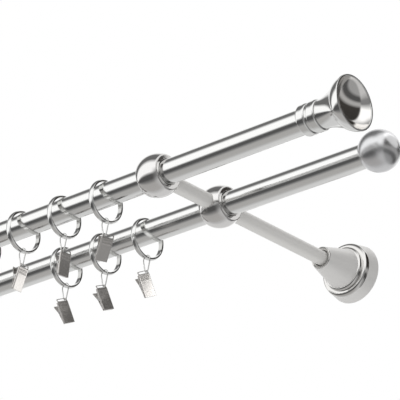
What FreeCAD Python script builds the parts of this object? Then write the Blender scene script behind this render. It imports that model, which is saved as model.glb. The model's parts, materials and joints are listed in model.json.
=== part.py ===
import FreeCAD, Part
import math
import os
from FreeCAD import Placement, Rotation, Vector

# Double curtain pole, millimetres, +Z up.
# Origin: on the wall plane, midway between the two brackets, at the height of the arms.
# +X runs along the poles, +Y points into the wall, and the room is on the -Y side.

X_AXIS = Vector(1, 0, 0)
Y_AXIS = Vector(0, 1, 0)
Z_AXIS = Vector(0, 0, 1)

# Poles: two steel tubes of one length, one in front of the other
pole_diameter = 20.0
pole_wall = 1.0
pole_length = 1200.0
pole_overhang = 146.0
rear_pole_from_wall = 176.5
pole_spacing = 74.3

# Ball finials, turned in one piece with a spigot that fills the tube's end
ball_diameter = 33.4
spigot_length = 22.0
spigot_clearance = 0.1
spigot_chamfer = 1.0
spigot_groove_width = 2.0
spigot_groove_depth = 0.6

# Trumpet finials, turned: two beads, a flared bell with a rolled rim, and a hollow dish
bead_diameter = 24.8
bead_length = 8.2
bead_edge_radius = 2.4
bead_pitch = 9.3
bead_groove_diameter = 22.2
bell_neck_diameter = 22.8
bell_neck_start = 18.6
bell_length = 47.3
bell_flare_fullness = 0.3
bell_band_start = 37.0
bell_band_diameter = 35.6
bell_band_step = 0.3
bell_band_bulge = 0.6
bell_mouth_diameter = 44.0
bell_lip_radius = 0.9
dish_depth = 13.0

# Bracket holders: rounded barrels that the poles pass through
holder_diameter = 35.0
holder_width = 22.0
holder_end_diameter = 28.6
holder_edge_radius = 1.2
holder_face_dish = 0.6
holder_bore_clearance = 0.3
holder_bore_chamfer = 0.5
seat_gap = 0.1
arm_seat_depth = 1.7
stud_diameter = 6.0
stud_length = 4.0
thread_clearance = 0.05

# Arms: a long rod from the wall to the rear holder, a short one between the holders
arm_diameter = 12.6
arm_end_chamfer = 0.4
arm_seat_clearance = 0.1
arm_root_stud_diameter = 8.0
arm_root_stud_length = 9.0
stud_hole_margin = 1.0

# Wall plates and their rosette covers
plate_inset = 4.0
plate_thickness = 5.0
plate_boss_diameter = 17.0
plate_boss_length = 8.0
plate_edge_chamfer = 0.5
wall_hole_diameter = 4.6
wall_hole_head_diameter = 8.8
wall_hole_inset = 7.0
cover_base_diameter = 52.0
cover_skirt_taper = 1.9
cover_skirt_length = 10.6
cover_step_inset = 4.6
cover_step_position = 14.7
cover_inner_step_inset = 6.3
cover_cone_inset = 8.5
cover_cone_start = 17.6
cover_neck_diameter = 19.8
cover_length = 46.7
cover_neck_bevel = 1.3
cover_round_fullness = 0.22
cover_lip_round = 0.65
cover_bore_clearance = 1.1
cover_bore_length = 9.0
cover_plate_clearance = 0.1
cover_shell_inset = 10.8
cover_socket_step = 1.0

# Grub screws: one on top of each holder, one on top of each cover
holder_screw_diameter = 5.0
holder_screw_length = 6.0
cover_screw_diameter = 4.0
cover_screw_length = 3.6
cover_screw_from_wall = 2.6
screw_socket_depth = 2.0
screw_socket_share = 0.5
screw_point_share = 0.6

# Curtain rings: flat inside, crowned outside, hanging on the poles
ring_diameter = 36.8
ring_thickness = 2.2
ring_width = 4.4
ring_crown = 0.9
ring_inner_edge = 0.3
ring_hang_gap = 0.3
front_ring_places = [-195.5, -148.9, -102.1, -55.8]
rear_ring_places = [-172.5, -126.9, -79.2]

# Wire hooks: a teardrop of wire over each ring, whose eye carries a clip
hook_wire_diameter = 1.1
hook_arch_radius = 3.45
hook_side_length = 1.2
hook_shoulder_radius = 7.0
hook_eye_radius = 1.65
hook_eye_drop = 9.65
hook_corner_gap = 0.25
hook_gap_height = 3.6
hook_gap_half = 0.25

# Spring clips: a pressed front plate, a rear lever, a pin and a torsion spring
clip_width = 10.8
clip_length = 22.4
sheet_thickness = 0.5
sheet_bend_radius = 0.7
clip_flange_depth = 1.7
clip_flange_start = 0.9
clip_head_length = 3.3
clip_head_angle = 16.0
clip_head_margin = 0.5
slot_side_margin = 1.15
slot_height = 2.0
slot_top_margin = 0.5
slot_wire_gap = 0.4
rib_length = 7.4
rib_radius = 0.75
rib_height = 0.45
rib_positions = [17.0, 14.7]
clip_ear_length = 5.4
clip_ear_round = 1.35
clip_lip_depth = 1.5
clip_lip_margin = 0.7
pin_diameter = 1.2
pin_height = 10.8
pin_from_face = 2.5
pin_clearance = 0.05
pin_head_diameter = 2.0
pin_head_thickness = 0.3
lever_side_clearance = 0.3
lever_length = 18.2
lever_knee = 4.4
lever_spread = 8.0
lever_tip_gap = 0.15
lever_tip_height = 0.1
lever_ear_radius = 1.6
lever_web_half = 1.8
lever_web_root = 0.6
lever_grip_bend = 1.0
lever_grip_flare = 0.2
spring_wire_diameter = 0.4
spring_coil_radius = 1.05
spring_turns = 3
spring_pitch = 0.62
spring_leg_length = 4.4
spring_leg_lean = 0.35

# How each clip hangs, in degrees: its turn on the hook, its lean and its swing
front_clip_poses = [(0.0, 15.0, 3.0), (5.0, 21.0, 1.0), (-7.0, 7.0, 0.0), (-18.0, 38.0, 2.0)]
rear_clip_poses = [(-17.0, -3.0, 22.0), (-15.0, -5.0, 21.0), (-22.0, 4.0, 23.0)]

# Worked out from the sizes above
pole_radius = pole_diameter / 2
tube_bore_radius = pole_radius - pole_wall
bracket_places = [-(pole_length / 2 - pole_overhang), pole_length / 2 - pole_overhang]
rear_pole_y = -rear_pole_from_wall
front_pole_y = rear_pole_y - pole_spacing
holder_bore_radius = pole_radius + holder_bore_clearance
holder_lift = holder_bore_clearance - seat_gap
arm_radius = arm_diameter / 2
holder_seat = holder_diameter / 2 - arm_seat_depth
cover_radius = cover_base_diameter / 2
plate_radius = cover_radius - plate_inset
wall_hole_radius = plate_radius - wall_hole_inset
wire_radius = hook_wire_diameter / 2
ring_radius = ring_diameter / 2
ring_bore_radius = ring_radius - ring_thickness
ring_drop = ring_bore_radius - pole_radius - ring_hang_gap
ring_floor = -ring_drop - ring_bore_radius
clip_face_length = clip_length - clip_head_length
slot_length = clip_width - 2 * slot_side_margin


def point(x, y, z=0.0):
    return Vector(x, y, z)


def solid_of_revolution(edges, axis):
    """Turn a closed outline in the XY plane about the X or the Y axis."""
    face = Part.Face(Part.Wire(edges))
    return face.revolve(Vector(0, 0, 0), axis, 360)


def line(start, end):
    return Part.makeLine(start, end)


def arc(start, middle, end):
    return Part.Arc(start, middle, end).toShape()


def chain(points):
    """Straight edges from point to point."""
    return [line(a, b) for a, b in zip(points, points[1:])]


def moved(shape, x=0.0, y=0.0, z=0.0):
    shape = shape.copy()
    shape.translate(Vector(x, y, z))
    return shape


def facing_left(shape):
    """Turn a finial made for the +X end so that it fits the -X end."""
    shape = shape.copy()
    shape.rotate(Vector(0, 0, 0), Z_AXIS, 180)
    return shape


def pole():
    """A plain tube along X, centred on the origin."""
    outside = Part.makeCylinder(pole_radius, pole_length, Vector(-pole_length / 2, 0, 0), X_AXIS)
    bore = Part.makeCylinder(tube_bore_radius, pole_length, Vector(-pole_length / 2, 0, 0), X_AXIS)
    return outside.cut(bore)


def spigot_outline():
    """Half outline of the spigot, from its chamfered tip to the shoulder at x = 0."""
    radius = tube_bore_radius - spigot_clearance
    inner = radius - spigot_groove_depth
    groove = -spigot_length / 2
    return [
        point(-spigot_length, 0),
        point(-spigot_length, radius - spigot_chamfer),
        point(-spigot_length + spigot_chamfer, radius),
        point(groove - spigot_groove_width / 2, radius),
        point(groove - spigot_groove_width / 2, inner),
        point(groove + spigot_groove_width / 2, inner),
        point(groove + spigot_groove_width / 2, radius),
        point(0, radius),
    ]


def ball_finial():
    """Ball cut flat where it meets the tube, with its spigot inside the tube."""
    radius = ball_diameter / 2
    centre = math.sqrt(radius ** 2 - pole_radius ** 2)
    outline = spigot_outline() + [point(0, pole_radius)]
    edges = chain(outline)
    edges.append(arc(outline[-1], point(centre, radius), point(centre + radius, 0)))
    edges.append(line(point(centre + radius, 0), outline[0]))
    return solid_of_revolution(edges, X_AXIS)


def bead(start):
    """Edges of one rounded bead that starts at the given place along the finial."""
    crest = bead_diameter / 2
    root = bead_groove_diameter / 2
    rise = crest - root
    reach = math.sqrt(bead_edge_radius ** 2 - (bead_edge_radius - rise) ** 2)
    middle_reach = reach / 2
    middle_rise = math.sqrt(bead_edge_radius ** 2 - middle_reach ** 2) - (bead_edge_radius - rise)
    end = start + bead_length
    first_top = point(start + reach, crest)
    last_top = point(end - reach, crest)
    first_middle = point(first_top.x - middle_reach, root + middle_rise)
    last_middle = point(last_top.x + middle_reach, root + middle_rise)
    return [
        arc(point(start, root), first_middle, first_top),
        line(first_top, last_top),
        arc(last_top, last_middle, point(end, root)),
    ]


def bell_edges(start):
    """Outside of the bell: a hollow flare, a fine step, a full round band and the lip."""
    band_radius = bell_band_diameter / 2
    mouth_radius = bell_mouth_diameter / 2
    neck = point(start, bell_neck_diameter / 2)
    flare_end = point(bell_band_start, band_radius)
    reach = (flare_end.x - neck.x) * bell_flare_fullness
    rise = (flare_end.y - neck.y) * bell_flare_fullness
    flare = Part.BezierCurve()
    flare.setPoles([
        neck,
        point(neck.x + reach, neck.y),
        point(flare_end.x - reach * 0.8, flare_end.y - rise * 1.3),
        flare_end,
    ])
    band_start = point(bell_band_start, band_radius + bell_band_step)
    lip_top = point(bell_length - bell_lip_radius, mouth_radius)
    lip_front = point(bell_length, mouth_radius - bell_lip_radius)
    lip_back = point(lip_top.x, mouth_radius - 2 * bell_lip_radius)
    band_middle = (band_start + lip_top) * 0.5 + point(-bell_band_bulge, 2 * bell_band_bulge) * 0.5
    edges = [
        flare.toShape(),
        line(flare_end, band_start),
        arc(band_start, band_middle, lip_top),
        arc(lip_top, lip_front, lip_back),
    ]
    return edges, lip_back


def dish_edges(lip_back):
    """Inside of the bell: part of a sphere from the lip down to the floor on the axis."""
    floor = point(bell_length - dish_depth, 0)
    depth = lip_back.x - floor.x
    sphere = (depth ** 2 + lip_back.y ** 2) / (2 * depth)
    angle = math.atan2(lip_back.y, sphere - depth) / 2
    middle = point(floor.x + sphere * (1 - math.cos(angle)), sphere * math.sin(angle))
    return [arc(lip_back, middle, floor)], floor


def trumpet_finial():
    """Two beads with a groove between them, then the flared bell with its hollow dish."""
    root = bead_groove_diameter / 2
    outline = spigot_outline() + [point(0, root)]
    second_end = bead_pitch + bead_length
    edges = chain(outline) + bead(0.0)
    edges.append(line(point(bead_length, root), point(bead_pitch, root)))
    edges += bead(bead_pitch)
    edges.append(line(point(second_end, root), point(bell_neck_start, bell_neck_diameter / 2)))
    outside, lip_back = bell_edges(bell_neck_start)
    inside, floor = dish_edges(lip_back)
    edges += outside + inside
    edges.append(line(floor, outline[0]))
    return solid_of_revolution(edges, X_AXIS)


def holder_barrel():
    """Crowned barrel about the X axis with a chamfered through bore."""
    half = holder_width / 2
    end_radius = holder_end_diameter / 2
    bore = holder_bore_radius
    chamfer = holder_bore_chamfer
    left = point(-half, end_radius)
    right = point(half, end_radius)
    inner_right = point(half - holder_face_dish, bore + chamfer)
    inner_left = point(-half + holder_face_dish, bore + chamfer)
    bore_right = point(inner_right.x - chamfer, bore)
    bore_left = point(inner_left.x + chamfer, bore)
    edges = [arc(left, point(0, holder_diameter / 2), right)]
    edges += chain([right, inner_right, bore_right, bore_left, inner_left, left])
    barrel = solid_of_revolution(edges, X_AXIS)
    rims = [e for e in barrel.Edges if is_circle_about_x(e, end_radius)]
    return barrel.makeFillet(holder_edge_radius, rims)


def is_circle_about_x(edge, radius):
    return isinstance(edge.Curve, Part.Circle) and abs(edge.Curve.Radius - radius) < 1e-4


def arm_seat(side):
    """Cutter for the flat seat and the threaded hole that take an arm's end."""
    direction = Y_AXIS * side
    floor = direction * holder_seat
    seat = Part.makeCylinder(arm_radius + arm_seat_clearance, holder_diameter / 2, floor, direction)
    hole = Part.makeCylinder(stud_diameter / 2, holder_seat, Vector(0, 0, 0), direction)
    return seat.fuse(hole)


def holder(sides):
    """A barrel with arm seats on the given sides and a threaded hole for its grub screw.

    The barrel sits a little higher than the pole, which rests in the bottom of the bore.
    The arms keep the height of the pole, so their seats are cut after the lift.
    """
    barrel = moved(holder_barrel(), z=holder_lift)
    for side in sides:
        seat = arm_seat(side)
        barrel = barrel.cut(seat)
    screw_hole = Part.makeCylinder(holder_screw_diameter / 2, holder_diameter, Vector(0, 0, 0), Z_AXIS)
    return barrel.cut(screw_hole)


def holder_screw():
    """Grub screw that presses on the top of the pole."""
    return moved(grub_screw(holder_screw_diameter, holder_screw_length), z=pole_radius + seat_gap)


def grub_screw(diameter, length):
    """A headless screw, point down at z = 0, with a hexagon socket on top."""
    radius = diameter / 2 - thread_clearance
    point_radius = radius * screw_point_share
    taper = radius - point_radius
    cone = Part.makeCone(point_radius, radius, taper)
    shank = Part.makeCylinder(radius, length - taper, Vector(0, 0, taper))
    across = diameter * screw_socket_share / 2
    corners = [Vector(across * math.cos(math.radians(60 * i)), across * math.sin(math.radians(60 * i)), 0)
               for i in range(6)]
    socket = Part.Face(Part.makePolygon(corners + [corners[0]])).extrude(Z_AXIS * screw_socket_depth)
    socket = moved(socket, z=length - screw_socket_depth)
    return cone.fuse(shank).cut(socket).removeSplitter()


def arm(start, end, root_stud):
    """A round rod along Y from start to end (start is nearer the wall), with a stud at each end."""
    length = start - end
    rod = Part.makeCylinder(arm_radius, length, Vector(0, end, 0), Y_AXIS)
    rims = [e for e in rod.Edges if isinstance(e.Curve, Part.Circle)]
    rod = rod.makeChamfer(arm_end_chamfer, rims)
    tip = Part.makeCylinder(stud_diameter / 2 - thread_clearance, stud_length, Vector(0, end, 0), Y_AXIS * -1)
    root_radius, root_length = root_stud
    root = Part.makeCylinder(root_radius - thread_clearance, root_length, Vector(0, start, 0), Y_AXIS)
    return rod.fuse([tip, root]).removeSplitter()


def rear_arm():
    start = -(plate_thickness + plate_boss_length)
    end = rear_pole_y + holder_seat
    return arm(start, end, (arm_root_stud_diameter / 2, arm_root_stud_length))


def front_arm():
    start = rear_pole_y - holder_seat
    end = front_pole_y + holder_seat
    return arm(start, end, (stud_diameter / 2, stud_length))


def wall_plate():
    """Round plate against the wall with a threaded boss and two countersunk screw holes."""
    radius = plate_radius
    chamfer = plate_edge_chamfer
    boss = plate_boss_diameter / 2
    face = -plate_thickness
    end = face - plate_boss_length
    outline = [
        point(0, 0),
        point(radius, 0),
        point(radius, face + chamfer),
        point(radius - chamfer, face),
        point(boss, face),
        point(boss, end + chamfer),
        point(boss - chamfer, end),
        point(0, end),
        point(0, 0),
    ]
    plate = solid_of_revolution(chain(outline), Y_AXIS)
    depth = arm_root_stud_length + stud_hole_margin
    plate = plate.cut(Part.makeCylinder(arm_root_stud_diameter / 2, depth, Vector(0, end, 0), Y_AXIS))
    sink = (wall_hole_head_diameter - wall_hole_diameter) / 2
    for side in (-1, 1):
        place = Vector(0, -plate_thickness, side * wall_hole_radius)
        hole = Part.makeCylinder(wall_hole_diameter / 2, plate_thickness, place, Y_AXIS)
        head = Part.makeCone(wall_hole_head_diameter / 2, wall_hole_diameter / 2, sink, place, Y_AXIS)
        plate = plate.cut(hole.fuse(head))
    return plate


def polished_round(start, end):
    """An edge rounded outwards between two points of the cover's outline."""
    middle = (start + end) * 0.5
    outward = point(start.x - end.x, end.y - start.y)
    return arc(start, middle + outward.normalize() * (end - start).Length * cover_round_fullness, end)


def rosette_cover():
    """Turned cover: tapered skirt, two polished rounds, a straight cone and a bevelled neck."""
    skirt = cover_radius - cover_skirt_taper
    step = cover_radius - cover_step_inset
    inner_step = cover_radius - cover_inner_step_inset
    cone = cover_radius - cover_cone_inset
    neck = cover_neck_diameter / 2
    bore = arm_radius + cover_bore_clearance
    bevel = cover_neck_bevel
    skirt_end = -cover_skirt_length
    step_end = -cover_step_position
    cone_end = -cover_cone_start
    neck_end = -cover_length
    socket = plate_radius + cover_plate_clearance
    shell = cover_radius - cover_shell_inset
    edges = chain([point(socket, 0), point(cover_radius, 0), point(skirt, skirt_end)])
    edges.append(polished_round(point(skirt, skirt_end), point(step, step_end)))
    edges.append(line(point(step, step_end), point(inner_step, step_end)))
    edges.append(polished_round(point(inner_step, step_end), point(cone, cone_end)))
    cone_top = point(neck, neck_end + cover_lip_round)
    lip = point(neck - cover_lip_round, neck_end)
    edges.append(line(point(cone, cone_end), cone_top))
    edges.append(polished_round(cone_top, lip))
    edges += chain([
        lip,
        point(bore, neck_end + bevel),
        point(bore, neck_end + cover_bore_length),
        point(shell, cone_end),
        point(socket, skirt_end + cover_socket_step),
        point(socket, 0),
    ])
    cover = solid_of_revolution(edges, Y_AXIS)
    place = Vector(0, -cover_screw_from_wall, 0)
    hole = Part.makeCylinder(cover_screw_diameter / 2, cover_base_diameter, place, Z_AXIS)
    return cover.cut(hole)


def cover_screw():
    """Grub screw through the cover's skirt onto the rim of the wall plate."""
    screw = grub_screw(cover_screw_diameter, cover_screw_length)
    return moved(screw, y=-cover_screw_from_wall, z=plate_radius + seat_gap)


def ring():
    """Curtain ring about the X axis: flat bore with eased edges and a crowned outside."""
    half = ring_width / 2
    edge = ring_inner_edge
    crown = ring_radius - ring_crown
    edges = [arc(point(-half, crown), point(0, ring_radius), point(half, crown))]
    edges += chain([
        point(half, crown),
        point(half, ring_bore_radius + edge),
        point(half - edge, ring_bore_radius),
        point(-half + edge, ring_bore_radius),
        point(-half, ring_bore_radius + edge),
        point(-half, crown),
    ])
    return moved(solid_of_revolution(edges, X_AXIS), z=-ring_drop)


def hook_centre_height():
    """Height of the arch's centre when the arch rests on the corners of the ring's band."""
    reach = hook_arch_radius - wire_radius - hook_corner_gap
    half = ring_width / 2 - ring_inner_edge
    return ring_floor - math.sqrt(max(reach ** 2 - half ** 2, 0.0))


def hook_eye_height():
    """Height of the middle of the wire at the bottom of the eye."""
    return hook_centre_height() - hook_eye_drop - hook_eye_radius


def hook():
    """One bent wire in the XZ plane: over the band, down both sides and round the eye.

    The two ends of the wire face each other on the -X side.
    """
    top = hook_centre_height()
    shoulder = Vector(hook_arch_radius - hook_shoulder_radius, 0, top - hook_side_length)
    eye = Vector(0, 0, top - hook_eye_drop)
    run = eye - shoulder
    angle = math.atan2(run.z, run.x) + math.acos((hook_shoulder_radius - hook_eye_radius) / run.Length)
    normal = Vector(math.cos(angle), 0, math.sin(angle))
    upper = shoulder + normal * hook_shoulder_radius
    lower = eye + normal * hook_eye_radius
    half_angle = angle / 2
    shoulder_middle = shoulder + Vector(math.cos(half_angle), 0, math.sin(half_angle)) * hook_shoulder_radius

    def mirrored(v):
        return Vector(-v.x, 0, v.z)

    def on_left_run(height):
        share = (upper.z - height) / (upper.z - lower.z)
        return mirrored(upper + (lower - upper) * share)

    gap = top - hook_eye_drop + hook_gap_height
    arch_right = Vector(hook_arch_radius, 0, top)
    side_right = Vector(hook_arch_radius, 0, top - hook_side_length)
    path = [
        line(on_left_run(gap + hook_gap_half), mirrored(upper)),
        arc(mirrored(upper), mirrored(shoulder_middle), mirrored(side_right)),
        line(mirrored(side_right), mirrored(arch_right)),
        arc(mirrored(arch_right), Vector(0, 0, top + hook_arch_radius), arch_right),
        line(arch_right, side_right),
        arc(side_right, shoulder_middle, upper),
        line(upper, lower),
        arc(lower, eye - Z_AXIS * hook_eye_radius, mirrored(lower)),
        line(mirrored(lower), on_left_run(gap - hook_gap_half)),
    ]
    start = on_left_run(gap + hook_gap_half)
    heading = mirrored(upper) - start
    section = Part.Wire(Part.makeCircle(wire_radius, start, heading))
    return Part.Wire(path).makePipeShell([section], True, True)


def sheet_box(x, z, depth, width, height):
    """A box centred on the clip's middle plane, with x and z as its lowest corner."""
    return Part.makeBox(depth, width, height, Vector(x, -width / 2, z))


def clip_channel():
    """The front plate's face with its two side flanges, one bent sheet, open towards -X."""
    outer = sheet_box(-clip_flange_depth, 0, clip_flange_depth, clip_width, clip_face_length)
    corners = [e for e in outer.Edges if abs(e.CenterOfMass.x) < 1e-6 and is_along(e, Z_AXIS)]
    outer = outer.makeFillet(sheet_bend_radius, corners)
    inner_width = clip_width - 2 * sheet_thickness
    inner_depth = clip_flange_depth - sheet_thickness
    inner = sheet_box(-clip_flange_depth, 0, inner_depth, inner_width, clip_face_length)
    corners = [e for e in inner.Edges
               if abs(e.CenterOfMass.x + sheet_thickness) < 1e-6 and is_along(e, Z_AXIS)]
    inner = inner.makeFillet(sheet_bend_radius - sheet_thickness, corners)
    return outer.cut(inner)


def is_along(edge, axis):
    direction = edge.tangentAt(edge.FirstParameter)
    return abs(abs(direction.dot(axis)) - 1) < 1e-6


def clip_ears():
    """A pair of ears on the side flanges that narrow to a round end about the pin."""
    root = -clip_flange_depth + sheet_thickness / 2
    radius = clip_ear_round
    ears = []
    for side in (-1, 1):
        y = side * (clip_width - sheet_thickness) / 2 - sheet_thickness / 2
        outline = Part.makePolygon([
            Vector(root, y, pin_height - clip_ear_length / 2),
            Vector(root, y, pin_height + clip_ear_length / 2),
            Vector(-pin_from_face, y, pin_height + radius),
            Vector(-pin_from_face, y, pin_height - radius),
            Vector(root, y, pin_height - clip_ear_length / 2),
        ])
        plate = Part.Face(outline).extrude(Y_AXIS * sheet_thickness)
        end = Part.makeCylinder(radius, sheet_thickness, Vector(-pin_from_face, y, pin_height), Y_AXIS)
        ears.append(plate.fuse(end))
    return ears


def clip_head():
    """Top strip of the front plate, bent back, with the slot that the wire eye passes."""
    width = clip_width - 2 * clip_head_margin
    overlap = sheet_thickness * math.tan(math.radians(clip_head_angle))
    strip = sheet_box(-sheet_thickness, -overlap, sheet_thickness, width, clip_head_length + overlap)
    corners = [e for e in strip.Edges if is_along(e, X_AXIS) and e.CenterOfMass.z > clip_head_length / 2]
    strip = strip.makeFillet(sheet_bend_radius, corners)
    strip = strip.cut(head_slot())
    strip.rotate(Vector(0, 0, 0), Y_AXIS, -clip_head_angle)
    return moved(strip, z=clip_face_length)


def head_slot():
    """Round-ended slot through the head, in the head's own flat frame."""
    radius = slot_height / 2
    middle = clip_head_length - slot_top_margin - radius
    reach = slot_length / 2 - radius
    depth = 4 * sheet_thickness
    cutter = sheet_box(-depth / 2, middle - radius, depth, 2 * reach, slot_height)
    for side in (-1, 1):
        end = Part.makeCylinder(radius, depth, Vector(-depth / 2, side * reach, middle), X_AXIS)
        cutter = cutter.fuse(end)
    return cutter


def clip_rib(height):
    """A half-round rib across the face, standing a little proud of it."""
    inset = rib_radius - rib_height
    bar = Part.makeCylinder(rib_radius, rib_length, Vector(-inset, -rib_length / 2, height), Y_AXIS)
    front = sheet_box(-sheet_thickness / 2, height - rib_radius, rib_radius * 2, rib_length, 2 * rib_radius)
    return bar.common(front)


def clip_front():
    """Front jaw: face, flanges, head, ribs, ears and the lip that bites the cloth."""
    flange_reach = clip_flange_depth - sheet_thickness
    trim = sheet_box(-clip_flange_depth, 0, flange_reach, clip_width, clip_flange_start)
    body = clip_channel().cut(trim)
    lip_width = clip_width - 2 * clip_lip_margin
    lip = sheet_box(-clip_lip_depth, 0, clip_lip_depth - sheet_thickness / 2, lip_width, sheet_thickness)
    pieces = [lip, clip_head()]
    pieces += [clip_rib(height) for height in rib_positions]
    pieces += clip_ears()
    body = body.fuse(pieces).removeSplitter()
    return body.cut(pin_hole())


def pin_hole():
    radius = pin_diameter / 2 + pin_clearance
    start = Vector(-pin_from_face, -clip_width, pin_height)
    return Part.makeCylinder(radius, 2 * clip_width, start, Y_AXIS)


def lever_width():
    return clip_width - 2 * sheet_thickness - 2 * lever_side_clearance


def lever_sheet():
    """Side outline of the bent lever, swept across its width."""
    t = sheet_thickness
    tip = -clip_lip_depth - lever_tip_gap
    toe = tip - 1.5 * t
    grip = lever_length - lever_grip_bend
    end = -lever_spread - lever_grip_flare
    outline = [
        Vector(tip, 0, lever_tip_height),
        Vector(tip, 0, lever_tip_height + t),
        Vector(tip - t, 0, lever_tip_height + 1.5 * t),
        Vector(-lever_knee, 0, pin_height),
        Vector(-lever_spread, 0, grip),
        Vector(end, 0, lever_length),
        Vector(end - t, 0, lever_length),
        Vector(-lever_spread - t, 0, grip),
        Vector(-lever_knee - t, 0, pin_height),
        Vector(toe, 0, lever_tip_height),
    ]
    face = Part.Face(Part.makePolygon(outline + [outline[0]]))
    return moved(face.extrude(Y_AXIS * lever_width()), y=-lever_width() / 2)


def lever_ear(side):
    """An ear round the pin with the web that joins it to the lever."""
    y = side * (lever_width() - sheet_thickness) / 2 - sheet_thickness / 2
    disc = Part.makeCylinder(lever_ear_radius, sheet_thickness, Vector(-pin_from_face, y, pin_height), Y_AXIS)
    web = Part.makePolygon([
        Vector(-pin_from_face, y, pin_height - lever_ear_radius),
        Vector(-pin_from_face, y, pin_height + lever_ear_radius),
        Vector(-lever_knee - lever_web_root, y, pin_height + lever_web_half),
        Vector(-lever_knee + lever_web_root / 2, y, pin_height - lever_web_half),
        Vector(-pin_from_face, y, pin_height - lever_ear_radius),
    ])
    return disc.fuse(Part.Face(web).extrude(Y_AXIS * sheet_thickness))


def clip_lever():
    """Rear jaw: a bent lever with its own ears just inside the front plate's ears."""
    body = lever_sheet().fuse([lever_ear(-1), lever_ear(1)]).removeSplitter()
    return body.cut(pin_hole())


def clip_pin():
    """Pivot pin with a riveted head at each end."""
    radius = pin_diameter / 2
    length = clip_width + 2 * pin_head_thickness
    start = Vector(-pin_from_face, -length / 2, pin_height)
    pin = Part.makeCylinder(radius, length, start, Y_AXIS)
    for y in (-length / 2, clip_width / 2):
        base = Vector(-pin_from_face, y, pin_height)
        pin = pin.fuse(Part.makeCylinder(pin_head_diameter / 2, pin_head_thickness, base, Y_AXIS))
    return pin.removeSplitter()


def clip_spring():
    """Torsion spring round the pin: a close coil and two legs that push the grips apart."""
    wire = spring_wire_diameter / 2
    helix = Part.makeHelix(spring_pitch, spring_pitch * spring_turns, spring_coil_radius)
    start = Vector(spring_coil_radius, 0, 0)
    section = Part.Wire(Part.makeCircle(wire, start, Y_AXIS))
    coil = Part.Wire(helix.Edges).makePipeShell([section], True, True)
    leg_one = Part.makeCylinder(wire, spring_leg_length, start, Y_AXIS * -1)
    far = Vector(spring_coil_radius, 0, spring_pitch * spring_turns)
    leg_two = Part.makeCylinder(wire, spring_leg_length, far, Vector(-spring_leg_lean, 1, 0))
    spring = coil.fuse([leg_one, leg_two])
    spring.rotate(Vector(0, 0, 0), X_AXIS, -90)
    return moved(spring, x=-pin_from_face, y=-spring_pitch * spring_turns / 2, z=pin_height)


def clip_anchor(side):
    """The middle of the wire in the clip's own frame, at the slot's end on the given side."""
    along = clip_head_length - slot_top_margin - wire_radius - slot_wire_gap
    angle = math.radians(clip_head_angle)
    x = -sheet_thickness / 2 * math.cos(angle) - along * math.sin(angle)
    z = clip_face_length + along * math.cos(angle) - sheet_thickness / 2 * math.sin(angle)
    y = side * (slot_length / 2 - wire_radius - slot_wire_gap)
    return Vector(x, y, z)


def hang_clip(shape, side, pose, place):
    """Put a clip piece on its hook: the anchor goes to the eye, turned as the pose says."""
    turn, lean, swing = pose
    rotation = Rotation(Z_AXIS, turn).multiply(Rotation(Y_AXIS, lean)).multiply(Rotation(X_AXIS, swing))
    shape = shape.copy()
    shape.translate(clip_anchor(side) * -1)
    shape.Placement = Placement(place, rotation).multiply(shape.Placement)
    return shape


def export(name, shape):
    shape.exportStep("parts/" + name + ".step")
    state = "valid" if shape.isValid() else "NOT VALID"
    print(name, state, "solids", len(shape.Solids), "volume", round(shape.Volume, 1))


def build_poles():
    end = pole_length / 2
    tube = pole()
    export("front_pole", moved(tube, y=front_pole_y))
    export("rear_pole", moved(tube, y=rear_pole_y))
    trumpet = trumpet_finial()
    ball = ball_finial()
    export("trumpet_finial_right", moved(trumpet, x=end, y=front_pole_y))
    export("trumpet_finial_left", moved(facing_left(trumpet), x=-end, y=front_pole_y))
    export("ball_finial_right", moved(ball, x=end, y=rear_pole_y))
    export("ball_finial_left", moved(facing_left(ball), x=-end, y=rear_pole_y))


def build_brackets():
    holder_screws = []
    cover_screws = []
    for side, x in zip(("left", "right"), bracket_places):
        export("wall_plate_" + side, moved(wall_plate(), x=x))
        export("rosette_cover_" + side, moved(rosette_cover(), x=x))
        export("rear_arm_" + side, moved(rear_arm(), x=x))
        export("front_arm_" + side, moved(front_arm(), x=x))
        export("rear_holder_" + side, moved(holder((-1, 1)), x=x, y=rear_pole_y))
        export("front_holder_" + side, moved(holder((1,)), x=x, y=front_pole_y))
        cover_screws.append(moved(cover_screw(), x=x))
        for y in (rear_pole_y, front_pole_y):
            holder_screws.append(moved(holder_screw(), x=x, y=y))
    export("holder_grub_screws", Part.makeCompound(holder_screws))
    export("cover_grub_screws", Part.makeCompound(cover_screws))


def build_ring_set(row, number, x, y, slot_side, pose):
    """One ring with its hook and its spring clip."""
    name = row + "_" + str(number)
    export("ring_" + name, moved(ring(), x=x, y=y))
    export("hook_" + name, moved(hook(), x=x, y=y))
    eye = Vector(x, y, hook_eye_height())
    front = hang_clip(clip_front(), slot_side, pose, eye)
    lever = hang_clip(clip_lever(), slot_side, pose, eye)
    pivot = hang_clip(Part.makeCompound([clip_pin(), clip_spring()]), slot_side, pose, eye)
    export("clip_front_" + name, front)
    export("clip_lever_" + name, lever)
    export("clip_spring_" + name, pivot)


def build_rings():
    origin = bracket_places[1]
    for number, (place, pose) in enumerate(zip(front_ring_places, front_clip_poses), 1):
        build_ring_set("front", number, origin + place, front_pole_y, -1, pose)
    for number, (place, pose) in enumerate(zip(rear_ring_places, rear_clip_poses), 1):
        build_ring_set("rear", number, origin + place, rear_pole_y, 1, pose)


os.makedirs("parts", exist_ok=True)
build_poles()
build_brackets()
build_rings()
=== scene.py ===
"""Looks of the double curtain pole: chrome tubes, nickel brackets, rings and spring clips.

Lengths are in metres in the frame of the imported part: +X along the poles, +Y into the wall, +Z up.
"""

import json
import logging
import math
from dataclasses import dataclass, field
from enum import Enum

import bpy
from mathutils import Matrix, Vector

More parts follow.
